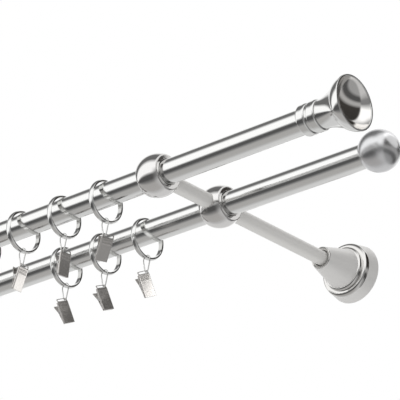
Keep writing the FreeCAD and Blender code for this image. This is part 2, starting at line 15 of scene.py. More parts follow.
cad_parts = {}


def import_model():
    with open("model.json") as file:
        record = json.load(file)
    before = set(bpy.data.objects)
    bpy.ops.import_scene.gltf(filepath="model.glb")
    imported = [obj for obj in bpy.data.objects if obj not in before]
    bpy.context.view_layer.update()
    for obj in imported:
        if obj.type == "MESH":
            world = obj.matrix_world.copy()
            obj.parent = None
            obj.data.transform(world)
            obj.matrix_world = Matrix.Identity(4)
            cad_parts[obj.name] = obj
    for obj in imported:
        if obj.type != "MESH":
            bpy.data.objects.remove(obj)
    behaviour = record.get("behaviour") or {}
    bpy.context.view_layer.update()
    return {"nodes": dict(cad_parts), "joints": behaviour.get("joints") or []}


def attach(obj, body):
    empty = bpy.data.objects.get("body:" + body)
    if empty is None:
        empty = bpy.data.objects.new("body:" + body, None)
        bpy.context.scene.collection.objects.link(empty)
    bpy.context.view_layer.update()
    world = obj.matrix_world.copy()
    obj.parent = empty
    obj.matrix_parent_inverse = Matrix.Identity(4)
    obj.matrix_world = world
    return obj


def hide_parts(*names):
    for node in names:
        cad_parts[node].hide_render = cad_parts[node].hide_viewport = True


LOG = logging.getLogger("curtain_pole")
MM = 0.001
IMAGE_PIXELS = 400
SENSOR_MM = 36.0
HALF_TURN = 180.0
WHITE = (1.0, 1.0, 1.0, 1.0)
LINE_DETAIL = 3.0
EDGE_SAMPLES = 4

Tree = bpy.types.NodeTree
Node = bpy.types.Node
Socket = bpy.types.NodeSocket


class Row(Enum):
    """The two poles of the set. The front one is farther from the wall."""

    FRONT = "front"
    REAR = "rear"


class Side(Enum):
    """The two ends of the set."""

    LEFT = "left"
    RIGHT = "right"


class Lay(Enum):
    """The way that the fine lines of a finish run, as a share of their closeness on X, Y and Z."""

    ROUND_X = (1.0, 0.04, 0.04)
    ROUND_Y = (0.04, 1.0, 0.04)
    ALONG_X = (0.01, 1.0, 1.0)
    ALONG_Y = (1.0, 0.01, 1.0)


def new_material(name: str) -> tuple[bpy.types.Material, Tree, Node]:
    """Make a material with its principled shader.

    Args:
        name: the finish's own name.

    Returns:
        The material, its node tree and its principled node.
    """
    material = bpy.data.materials.new(name)
    material.use_nodes = True
    tree = material.node_tree
    return material, tree, tree.nodes["Principled BSDF"]


def object_axes(tree: Tree) -> Node:
    """Separate the object coordinates into X, Y and Z.

    Args:
        tree: the material's node tree.

    Returns:
        The Separate XYZ node.
    """
    coords = tree.nodes.new("ShaderNodeTexCoord")
    split = tree.nodes.new("ShaderNodeSeparateXYZ")
    tree.links.new(coords.outputs["Object"], split.inputs[0])
    return split


def fine_lines(tree: Tree, lay: Lay, lines_per_metre: float) -> Node:
    """A noise that is long one way and fine the other, as brushing is.

    Args:
        tree: the material's node tree.
        lay: the way that the lines run.
        lines_per_metre: how close the lines are.

    Returns:
        The Noise Texture node.
    """
    coords = tree.nodes.new("ShaderNodeTexCoord")
    mapping = tree.nodes.new("ShaderNodeMapping")
    mapping.inputs["Scale"].default_value = [lines_per_metre * share for share in lay.value]
    noise = tree.nodes.new("ShaderNodeTexNoise")
    noise.inputs["Scale"].default_value = 1.0
    noise.inputs["Detail"].default_value = LINE_DETAIL
    tree.links.new(coords.outputs["Object"], mapping.inputs["Vector"])
    tree.links.new(mapping.outputs["Vector"], noise.inputs["Vector"])
    return noise


def bump_from(tree: Tree, height: Socket, depth: float, strength: float) -> Node:
    """Turn a height into a bump.

    Args:
        tree: the material's node tree.
        height: the socket that gives the height.
        depth: the height's size in metres.
        strength: the bump's strength.

    Returns:
        The Bump node.
    """
    bump = tree.nodes.new("ShaderNodeBump")
    bump.inputs["Strength"].default_value = strength
    bump.inputs["Distance"].default_value = depth
    tree.links.new(height, bump.inputs["Height"])
    return bump


@dataclass(frozen=True)
class PlatedMetal:
    """A plated metal: polished, satin or brushed by its roughness and its lines.

    Less than 1 of metallic stands in for the broad shine of brushed metal. A finish has either lines
    or an edge radius, which softens how the edges shine.
    """

    name: str
    color: tuple[float, float, float]
    roughness: float
    lay: Lay = Lay.ROUND_X
    lines_per_metre: float = 4000.0
    line_strength: float = 0.0
    metallic: float = 1.0
    edge_radius: float = 0.0
    line_depth: float = 0.00002

    def material(self) -> bpy.types.Material:
        """Build the material.

        Returns:
            The finish as a material.
        """
        material, tree, shader = new_material(self.name)
        shader.inputs["Base Color"].default_value = (*self.color, 1.0)
        shader.inputs["Metallic"].default_value = self.metallic
        shader.inputs["Roughness"].default_value = self.roughness
        if self.line_strength > 0.0:
            lines = fine_lines(tree, self.lay, self.lines_per_metre)
            bump = bump_from(tree, lines.outputs["Fac"], self.line_depth, self.line_strength)
            tree.links.new(bump.outputs["Normal"], shader.inputs["Normal"])
        if self.edge_radius > 0.0:
            soft = tree.nodes.new("ShaderNodeBevel")
            soft.samples = EDGE_SAMPLES
            soft.inputs["Radius"].default_value = self.edge_radius
            tree.links.new(soft.outputs["Normal"], shader.inputs["Normal"])
        return material


@dataclass(frozen=True)
class RosetteNickel:
    """The cover's two finishes: brushed skirt and cone, polished rounds and neck bevel.

    The rounds and the bevel lie between distances from the wall.
    """

    name: str
    color: tuple[float, float, float] = (0.74, 0.73, 0.715)
    brushed_roughness: float = 0.5
    brushed_metallic: float = 0.4
    polished_roughness: float = 0.07
    rounds_from: float = 0.0107
    rounds_to: float = 0.0177
    bevel_from: float = 0.0459
    bevel_to: float = 1.0
    edge: float = 0.0002
    lines_per_metre: float = 1200.0
    line_depth: float = 0.00004
    line_strength: float = 0.3

    def band(self, tree: Tree, height: Socket, low: float, high: float) -> Node:
        """A mask that is 1 between two distances from the wall.

        Args:
            tree: the material's node tree.
            height: distance from the wall, in metres.
            low: where the band starts.
            high: where the band ends.

        Returns:
            The Math node that gives the mask.
        """
        rise = tree.nodes.new("ShaderNodeMapRange")
        fall = tree.nodes.new("ShaderNodeMapRange")
        for node, start in ((rise, low), (fall, high)):
            node.inputs["From Min"].default_value = start - self.edge
            node.inputs["From Max"].default_value = start + self.edge
            tree.links.new(height, node.inputs["Value"])
        mask = tree.nodes.new("ShaderNodeMath")
        mask.operation = "SUBTRACT"
        tree.links.new(rise.outputs["Result"], mask.inputs[0])
        tree.links.new(fall.outputs["Result"], mask.inputs[1])
        return mask

    def material(self) -> bpy.types.Material:
        """Build the material.

        Returns:
            The finish as a material.
        """
        material, tree, shader = new_material(self.name)
        shader.inputs["Base Color"].default_value = (*self.color, 1.0)
        axes = object_axes(tree)
        from_wall = tree.nodes.new("ShaderNodeMath")
        from_wall.operation = "MULTIPLY"
        from_wall.inputs[1].default_value = -1.0
        tree.links.new(axes.outputs["Y"], from_wall.inputs[0])
        rounds = self.band(tree, from_wall.outputs[0], self.rounds_from, self.rounds_to)
        bevel = self.band(tree, from_wall.outputs[0], self.bevel_from, self.bevel_to)
        polished = tree.nodes.new("ShaderNodeMath")
        polished.operation = "ADD"
        tree.links.new(rounds.outputs[0], polished.inputs[0])
        tree.links.new(bevel.outputs[0], polished.inputs[1])
        for name, brushed, bright in (
            ("Roughness", self.brushed_roughness, self.polished_roughness),
            ("Metallic", self.brushed_metallic, 1.0),
        ):
            blend = tree.nodes.new("ShaderNodeMapRange")
            blend.inputs["To Min"].default_value = brushed
            blend.inputs["To Max"].default_value = bright
            tree.links.new(polished.outputs[0], blend.inputs["Value"])
            tree.links.new(blend.outputs["Result"], shader.inputs[name])
        strength = tree.nodes.new("ShaderNodeMapRange")
        strength.inputs["To Min"].default_value = self.line_strength
        strength.inputs["To Max"].default_value = 0.0
        tree.links.new(polished.outputs[0], strength.inputs["Value"])
        lines = fine_lines(tree, Lay.ROUND_Y, self.lines_per_metre)
        bump = bump_from(tree, lines.outputs["Fac"], self.line_depth, 0.0)
        tree.links.new(strength.outputs["Result"], bump.inputs["Strength"])
        tree.links.new(bump.outputs["Normal"], shader.inputs["Normal"])
        return material


@dataclass(frozen=True)
class TrumpetChrome:
    """Polished chrome outside and a satin dish, turned in fine rings, inside the mouth. The dish's colour,
    lighter than the bell's, is partly painted light: it stands in for the light on the dish's lit far wall.

    The dish is what lies between dish_from and dish_to along the pole and nearer to its axis than a
    cone that starts at mask_start and widens by mask_slope.
    """

    name: str
    color: tuple[float, float, float] = (0.80, 0.80, 0.79)
    dish_color_with_painted_light: tuple[float, float, float] = (0.88, 0.865, 0.845)
    roughness: float = 0.09
    dish_roughness: float = 0.10
    axis_y: float = -0.2508
    dish_from: float = 0.6341
    dish_to: float = 0.64645
    mask_start: float = 0.0120
    mask_slope: float = 0.72
    lines_per_metre: float = 5200.0
    line_depth: float = 0.00003
    line_strength: float = 0.12

    def maths(self, tree: Tree, operation: str, one: Socket, other: float | Socket) -> Socket:
        """One Math node.

        Args:
            tree: the material's node tree.
            operation: the node's operation.
            one: the first value.
            other: the second value, a number or a socket.

        Returns:
            The result's socket.
        """
        node = tree.nodes.new("ShaderNodeMath")
        node.operation = operation
        tree.links.new(one, node.inputs[0])
        if isinstance(other, float):
            node.inputs[1].default_value = other
        else:
            tree.links.new(other, node.inputs[1])
        return node.outputs[0]

    def dish_mask(self, tree: Tree, axes: Node) -> Socket:
        """1 on the dish and 0 on the bell.

        Args:
            tree: the material's node tree.
            axes: the Separate XYZ node of the object coordinates.

        Returns:
            The mask's socket.
        """
        along = self.maths(tree, "ABSOLUTE", axes.outputs["X"], 0.0)
        out = self.maths(tree, "SUBTRACT", axes.outputs["Y"], self.axis_y)
        square = self.maths(tree, "POWER", self.maths(tree, "ABSOLUTE", out, 0.0), 2.0)
        lift = self.maths(tree, "POWER", self.maths(tree, "ABSOLUTE", axes.outputs["Z"], 0.0), 2.0)
        radius = self.maths(tree, "SQRT", self.maths(tree, "ADD", square, lift), 0.0)
        past = self.maths(tree, "SUBTRACT", along, self.dish_from)
        limit = self.maths(tree, "ADD", self.maths(tree, "MULTIPLY", past, self.mask_slope), self.mask_start)
        inside = self.maths(tree, "LESS_THAN", radius, limit)
        deep = self.maths(tree, "MULTIPLY", self.maths(tree, "GREATER_THAN", along, self.dish_from), inside)
        return self.maths(tree, "MULTIPLY", deep, self.maths(tree, "LESS_THAN", along, self.dish_to))

    def material(self) -> bpy.types.Material:
        """Build the material.

        Returns:
            The finish as a material.
        """
        material, tree, shader = new_material(self.name)
        mask = self.dish_mask(tree, object_axes(tree))
        # Painted light: the dish is coloured lighter than the bell to stand in for the light on its lit far
        # wall.
        tint = tree.nodes.new("ShaderNodeMix")
        tint.data_type = "RGBA"
        tint.inputs["A"].default_value = (*self.color, 1.0)
        tint.inputs["B"].default_value = (*self.dish_color_with_painted_light, 1.0)
        tree.links.new(mask, tint.inputs["Factor"])
        tree.links.new(tint.outputs["Result"], shader.inputs["Base Color"])
        shader.inputs["Metallic"].default_value = 1.0
        rough = tree.nodes.new("ShaderNodeMapRange")
        rough.inputs["To Min"].default_value = self.roughness
        rough.inputs["To Max"].default_value = self.dish_roughness
        tree.links.new(mask, rough.inputs["Value"])
        tree.links.new(rough.outputs["Result"], shader.inputs["Roughness"])
        lines = fine_lines(tree, Lay.ROUND_X, self.lines_per_metre)
        bump = bump_from(tree, lines.outputs["Fac"], self.line_depth, 0.0)
        tree.links.new(self.maths(tree, "MULTIPLY", mask, self.line_strength), bump.inputs["Strength"])
        tree.links.new(bump.outputs["Normal"], shader.inputs["Normal"])
        return material


@dataclass(frozen=True)
class StageWhite:
    """Pale floor paint that shows white to the camera and keeps the object's shadow."""

    name: str = "floor_white"
    paint: float = 0.85
    roughness: float = 0.9
    lift: float = 0.25

    def material(self) -> bpy.types.Material:
        """Build the material.

        Returns:
            The finish as a material.
        """
        material, _tree, shader = new_material(self.name)
        shader.inputs["Base Color"].default_value = (self.paint, self.paint, self.paint, 1.0)
        shader.inputs["Roughness"].default_value = self.roughness
        shader.inputs["Emission Color"].default_value = WHITE
        shader.inputs["Emission Strength"].default_value = self.lift
        return material


CHROME = PlatedMetal("polished_chrome", (0.82, 0.82, 0.81), 0.13, Lay.ALONG_X, 1600.0, 0.25)
RING_CHROME = PlatedMetal("ring_chrome", (0.80, 0.80, 0.79), 0.08)
TRUMPET_CHROME = TrumpetChrome("trumpet_chrome")
BALL_SATIN = PlatedMetal("ball_satin", (0.72, 0.72, 0.73), 0.27, Lay.ROUND_X, 2500.0, 0.05)
HOLDER_SATIN = PlatedMetal("holder_satin", (0.78, 0.77, 0.76), 0.10, edge_radius=0.0006)
ARM_BRUSHED = PlatedMetal("arm_brushed", (0.70, 0.69, 0.67), 0.45, Lay.ALONG_Y, 2500.0, 0.25, metallic=0.22)
PLATE_ZINC = PlatedMetal("plate_zinc", (0.62, 0.63, 0.64), 0.45)
SCREW_ZINC = PlatedMetal("screw_zinc", (0.50, 0.50, 0.52), 0.35)
CLIP_NICKEL = PlatedMetal("clip_nickel", (0.56, 0.54, 0.52), 0.18, metallic=0.8, edge_radius=0.0006)
SPRING_WIRE = PlatedMetal("spring_wire", (0.50, 0.50, 0.50), 0.25)
ROSETTE = RosetteNickel("rosette_nickel")


def dress(node: bpy.types.Object, material: bpy.types.Material) -> None:
    """Give one CAD node its material.

    Args:
        node: the node's object.
        material: the finish.
    """
    node.data.materials.clear()
    node.data.materials.append(material)


@dataclass
class FixedSet:
    """Poles, finials, holders, arms, plates, covers and grub screws."""

    nodes: dict[str, bpy.types.Object]
    finishes: dict[str, bpy.types.Material] = field(default_factory=dict)

    def finish_of(self, finish: PlatedMetal | RosetteNickel | TrumpetChrome) -> bpy.types.Material:
        """Build each finish once.

        Args:
            finish: the finish wanted.

        Returns:
            Its material.
        """
        if finish.name not in self.finishes:
            self.finishes[finish.name] = finish.material()
        return self.finishes[finish.name]

    def build(self) -> None:
        """Dress every fixed node."""
        for row in Row:
            dress(self.nodes[f"{row.value}_pole"], self.finish_of(CHROME))
        for side in Side:
            dress(self.nodes[f"trumpet_finial_{side.value}"], self.finish_of(TRUMPET_CHROME))
            dress(self.nodes[f"ball_finial_{side.value}"], self.finish_of(BALL_SATIN))
            dress(self.nodes[f"wall_plate_{side.value}"], self.finish_of(PLATE_ZINC))
            dress(self.nodes[f"rosette_cover_{side.value}"], self.finish_of(ROSETTE))
            for row in Row:
                dress(self.nodes[f"{row.value}_holder_{side.value}"], self.finish_of(HOLDER_SATIN))
                dress(self.nodes[f"{row.value}_arm_{side.value}"], self.finish_of(ARM_BRUSHED))
        for name in ("holder_grub_screws", "cover_grub_screws"):
            dress(self.nodes[name], self.finish_of(SCREW_ZINC))
        LOG.info("fixed set: %d finishes", len(self.finishes))


@dataclass(frozen=True)
class Hang:
    """How one clip hangs, in degrees: its turn on the hook, its lean and its swing."""

    turn: float
    lean: float
    swing: float

    def matrix(self) -> Matrix:
        """Join the three turns.

        Returns:
            The clip's rotation from its own frame to the set's frame.
        """
        turn = Matrix.Rotation(math.radians(self.turn), 4, "Z")
        lean = Matrix.Rotation(math.radians(self.lean), 4, "Y")
        return turn @ lean @ Matrix.Rotation(math.radians(self.swing), 4, "X")


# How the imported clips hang, from left to right on each pole.
HANGS = {
    Row.FRONT: (Hang(0.0, 15.0, 3.0), Hang(5.0, 21.0, 1.0), Hang(-7.0, 7.0, 0.0), Hang(-18.0, 38.0, 2.0)),
    Row.REAR: (Hang(-17.0, -3.0, 22.0), Hang(-15.0, -5.0, 21.0), Hang(-22.0, 4.0, 23.0)),
}


@dataclass
class PivotTree:
    """One node tree that winds the torsion spring, draws its legs and sets the riveted pin."""

    wire_radius: float = 0.2 * MM
    coil_radius: float = 1.05 * MM
    coil_turns: float = 3.0
    coil_height: float = 1.86 * MM
    leg_length: float = 4.4 * MM
    leg_lean: float = 0.35
    pin_radius: float = 0.6 * MM
    pin_length: float = 11.3 * MM
    head_radius: float = 1.0 * MM
    head_height: float = 0.3 * MM
    head_pitch: float = 11.1 * MM
    coil_steps: int = 28
    wire_sides: int = 12
    pin_sides: int = 32
    sockets: dict[str, str] = field(default_factory=dict)

    def sizes(self) -> dict[str, float]:
        """Name the tree's inputs.

        Returns:
            The inputs' values by their names.
        """
        return {
            "Wire Radius": self.wire_radius,
            "Coil Radius": self.coil_radius,
            "Coil Turns": self.coil_turns,
            "Coil Height": self.coil_height,
            "Leg Length": self.leg_length,
            "Leg Lean": self.leg_lean,
            "Pin Radius": self.pin_radius,
            "Pin Length": self.pin_length,
            "Head Radius": self.head_radius,
            "Head Height": self.head_height,
            "Head Pitch": self.head_pitch,
        }

    def product(self, tree: Tree, one: Socket, other: float | Socket) -> Socket:
        """Multiply a value by a number or by another value.

        Args:
            tree: the geometry tree.
            one: the first value.
            other: the number or the second value.

        Returns:
            The product's socket.
        """
        times = tree.nodes.new("ShaderNodeMath")
        times.operation = "MULTIPLY"
        tree.links.new(one, times.inputs[0])
        if isinstance(other, float):
            times.inputs[1].default_value = other
        else:
            tree.links.new(other, times.inputs[1])
        return times.outputs[0]

    def place(self, tree: Tree, values: tuple[Socket | None, ...]) -> Socket:
        """Join three values, each None or a socket, to a vector.

        Args:
            tree: the geometry tree.
            values: the sockets of X, Y and Z, None where it is zero.

        Returns:
            The vector's socket.
        """
        vector = tree.nodes.new("ShaderNodeCombineXYZ")
        for number, value in enumerate(values):
            if value is not None:
                tree.links.new(value, vector.inputs[number])
        return vector.outputs[0]

    def build(self, material: bpy.types.Material) -> Tree:
        """Build the tree.

        Args:
            material: the finish of pin and spring.

        Returns:
            The geometry node tree.
        """
        tree = bpy.data.node_groups.new("clip_pivot", "GeometryNodeTree")
        tree.interface.new_socket("Geometry", in_out="OUTPUT", socket_type="NodeSocketGeometry")
        for name in self.sizes():
            socket = tree.interface.new_socket(name, in_out="INPUT", socket_type="NodeSocketFloat")
            self.sockets[name] = socket.identifier
        given = tree.nodes.new("NodeGroupInput").outputs
        link = tree.links.new

        coil = tree.nodes.new("GeometryNodeCurveSpiral")
        coil.inputs["Resolution"].default_value = self.coil_steps
        link(given["Coil Turns"], coil.inputs["Rotations"])
        link(given["Coil Radius"], coil.inputs["Start Radius"])
        link(given["Coil Radius"], coil.inputs["End Radius"])
        link(given["Coil Height"], coil.inputs["Height"])

        back = self.product(tree, given["Leg Length"], -1.0)
        side = self.product(tree, given["Leg Length"], given["Leg Lean"])
        near = tree.nodes.new("ShaderNodeMath")
        near.operation = "SUBTRACT"
        link(given["Coil Radius"], near.inputs[0])
        link(side, near.inputs[1])
        radius = given["Coil Radius"]
        height = given["Coil Height"]
        legs = []
        for start, end in (
            ((radius, None, None), (radius, back, None)),
            ((radius, None, height), (near.outputs[0], given["Leg Length"], height)),
        ):
            leg = tree.nodes.new("GeometryNodeCurvePrimitiveLine")
            link(self.place(tree, start), leg.inputs["Start"])
            link(self.place(tree, end), leg.inputs["End"])
            legs.append(leg.outputs[0])

        curves = tree.nodes.new("GeometryNodeJoinGeometry")
        for curve in (coil.outputs[0], *legs):
            link(curve, curves.inputs[0])
        section = tree.nodes.new("GeometryNodeCurvePrimitiveCircle")
        section.inputs["Resolution"].default_value = self.wire_sides
        link(given["Wire Radius"], section.inputs["Radius"])
        wire = tree.nodes.new("GeometryNodeCurveToMesh")
        link(curves.outputs[0], wire.inputs["Curve"])
        link(section.outputs[0], wire.inputs["Profile Curve"])
        wire.inputs["Fill Caps"].default_value = True

        middle = self.place(tree, (None, None, self.product(tree, given["Coil Height"], 0.5)))
        pin = tree.nodes.new("GeometryNodeMeshCylinder")
        pin.inputs["Vertices"].default_value = self.pin_sides
        link(given["Pin Radius"], pin.inputs["Radius"])
        link(given["Pin Length"], pin.inputs["Depth"])
        head = tree.nodes.new("GeometryNodeMeshCylinder")
        head.inputs["Vertices"].default_value = self.pin_sides
        link(given["Head Radius"], head.inputs["Radius"])
        link(given["Head Height"], head.inputs["Depth"])
        ends = tree.nodes.new("GeometryNodeMeshLine")
        ends.inputs["Count"].default_value = 2
        first_end = self.product(tree, given["Head Pitch"], -0.5)
        link(self.place(tree, (None, None, first_end)), ends.inputs["Start Location"])
        link(self.place(tree, (None, None, given["Head Pitch"])), ends.inputs["Offset"])
        heads = tree.nodes.new("GeometryNodeInstanceOnPoints")
        link(ends.outputs[0], heads.inputs["Points"])
        link(head.outputs[0], heads.inputs["Instance"])
        riveted = tree.nodes.new("GeometryNodeJoinGeometry")
        link(pin.outputs[0], riveted.inputs[0])
        link(heads.outputs[0], riveted.inputs[0])
        centred = tree.nodes.new("GeometryNodeTransform")
        link(riveted.outputs[0], centred.inputs["Geometry"])
        link(middle, centred.inputs["Translation"])

        whole = tree.nodes.new("GeometryNodeJoinGeometry")
        link(wire.outputs[0], whole.inputs[0])
        link(centred.outputs[0], whole.inputs[0])
        realize = tree.nodes.new("GeometryNodeRealizeInstances")
        link(whole.outputs[0], realize.inputs[0])
        painted = tree.nodes.new("GeometryNodeSetMaterial")
        painted.inputs["Material"].default_value = material
        link(realize.outputs[0], painted.inputs["Geometry"])
        link(painted.outputs[0], tree.nodes.new("NodeGroupOutput").inputs[0])
        return tree

    def grow(self, name: str, tree: Tree) -> bpy.types.Object:
        """Evaluate the tree once to a plain mesh.

        Args:
            name: the new object's name.
            tree: the geometry node tree.

        Returns:
            The plain mesh object at the origin.
        """
        carrier = bpy.data.objects.new(name + "_carrier", bpy.data.meshes.new(name + "_carrier"))
        bpy.context.scene.collection.objects.link(carrier)
        modifier = carrier.modifiers.new("pivot", "NODES")
        modifier.node_group = tree
        for size, value in self.sizes().items():
            modifier[self.sockets[size]] = value
        bpy.context.view_layer.update()
        depsgraph = bpy.context.evaluated_depsgraph_get()
        mesh = bpy.data.meshes.new_from_object(carrier.evaluated_get(depsgraph))
        bpy.data.objects.remove(carrier)
        grown = bpy.data.objects.new(name, mesh)
        bpy.context.scene.collection.objects.link(grown)
        return grown


@dataclass
class RingSets:
    """The seven rings with their hooks, clips, pins and torsion springs."""

    nodes: dict[str, bpy.types.Object]
    pins: dict[str, Vector]
    pivot: PivotTree = field(default_factory=PivotTree)
    smooth_angle: float = 0.7

    def build_pivot(self, name: str, hang: Hang, tree: Tree) -> None:
        """Put one pin with its spring in the place of the CAD's own.

        Args:
            name: the set's name, such as front_1.
            hang: how its clip hangs.
            tree: the geometry node tree.
        """
        piece = self.pivot.grow("clip_pivot_" + name, tree)
        centre = Matrix.Translation((0.0, -self.pivot.coil_height / 2, 0.0))
        lay = Matrix.Rotation(-math.pi / 2, 4, "X")
        piece.data.transform(Matrix.Translation(self.pins[name]) @ hang.matrix() @ centre @ lay)
        piece.data.shade_smooth()
        piece.data.set_sharp_from_angle(angle=self.smooth_angle)
        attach(piece, "clip_" + name)
        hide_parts("clip_spring_" + name)
        LOG.info("%s: %d faces", piece.name, len(piece.data.polygons))

    def build(self) -> None:
        """Dress every ring, hook and clip, and build the pivots."""
        ring = RING_CHROME.material()
        clip = CLIP_NICKEL.material()
        wire = SPRING_WIRE.material()
        tree = self.pivot.build(wire)
        for row, hangs in HANGS.items():
            for number, hang in enumerate(hangs, start=1):
                name = f"{row.value}_{number}"
                dress(self.nodes["ring_" + name], ring)
                dress(self.nodes["hook_" + name], ring)
                dress(self.nodes["clip_front_" + name], clip)
                dress(self.nodes["clip_lever_" + name], clip)
                dress(self.nodes["clip_spring_" + name], wire)
                self.build_pivot(name, hang, tree)
        LOG.info("ring sets: %d", sum(len(hangs) for hangs in HANGS.values()))


@dataclass(frozen=True)
class StudioBand:
    """One stretch of the light that polished pieces see, by where it starts.

    On the two sides the start is an angle round the poles' axis: 0 straight out into the room, 90
    straight up and 180 to the wall. In the shade before the mouth it is a height, from -1 straight
    down to 1 straight up.
    """

    start: float
    level: float
    warmth: float = 0.0


# What the polished pieces mirror of the studio to the left, to the right and before the mouth.
LEFT_BANDS = (
    StudioBand(-180.0, 1.05),
    StudioBand(-172.0, 0.72),
    StudioBand(-125.0, 0.72),
    StudioBand(-108.0, 0.56),
    StudioBand(-98.0, 0.47, 0.02),
    StudioBand(-60.0, 0.44, 0.02),
    StudioBand(-45.0, 0.20),
    StudioBand(-36.0, 0.09),
    StudioBand(-16.0, 0.09),
    StudioBand(-8.0, 0.60),
    StudioBand(-2.0, 1.20),
    StudioBand(44.0, 1.20),
    StudioBand(56.0, 0.60),
    StudioBand(66.0, 0.16),
    StudioBand(100.0, 0.18),
    StudioBand(116.0, 1.0),
    StudioBand(180.0, 1.05),
)
RIGHT_BANDS = (
    StudioBand(-180.0, 0.50),
    StudioBand(-150.0, 0.60),
    StudioBand(-60.0, 0.58),
    StudioBand(-44.0, 0.45),
    StudioBand(-28.0, 0.24),
    StudioBand(-8.0, 0.22),
    StudioBand(8.0, 0.70),
    StudioBand(22.0, 1.20),
    StudioBand(72.0, 1.20),
    StudioBand(95.0, 0.85),
    StudioBand(120.0, 0.60),
    StudioBand(180.0, 0.50),
)
RIGHT_SHADE = (
    StudioBand(-1.0, 0.34),
    StudioBand(-0.60, 0.34),
    StudioBand(-0.45, 0.08),
    StudioBand(-0.25, 0.08),
    StudioBand(-0.10, 0.42, 0.01),
    StudioBand(0.02, 0.42, 0.01),
    StudioBand(0.20, 0.04, 0.08),
    StudioBand(1.0, 0.03, 0.10),
)


@dataclass(frozen=True)
class LightCard:
    """A soft round card of light that only the pieces with one of its name starts see.

    It hangs from its aim along its way, as far off as the way is long. Its size is its width and its
    level its brightness, where 1 is white.
    """

    name: str
    name_starts: tuple[str, ...]
    aim: tuple[float, float, float]
    way: tuple[float, float, float]
    size: float
    level: float


CARDS = (
    LightCard(
        name="end_card",
        name_starts=("ball_finial", "front_holder", "rear_holder"),
        aim=(0.61, -0.16, 0.0),
        way=(0.76, 0.44, 0.82),
        size=1.5,
        level=0.8,
    ),
    LightCard(
        name="clip_card",
        name_starts=("clip_front_rear_3",),
        aim=(0.374, -0.175, -0.046),
        way=(0.96, 0.0, 0.27),
        size=0.74,
        level=3.6,
    ),
    LightCard(
        name="left_clip_card",
        name_starts=("clip_front_front_2",),
        aim=(0.302, -0.247, -0.043),
        way=(0.66, 0.74, -0.12),
        size=0.74,
        level=1.5,
    ),
)


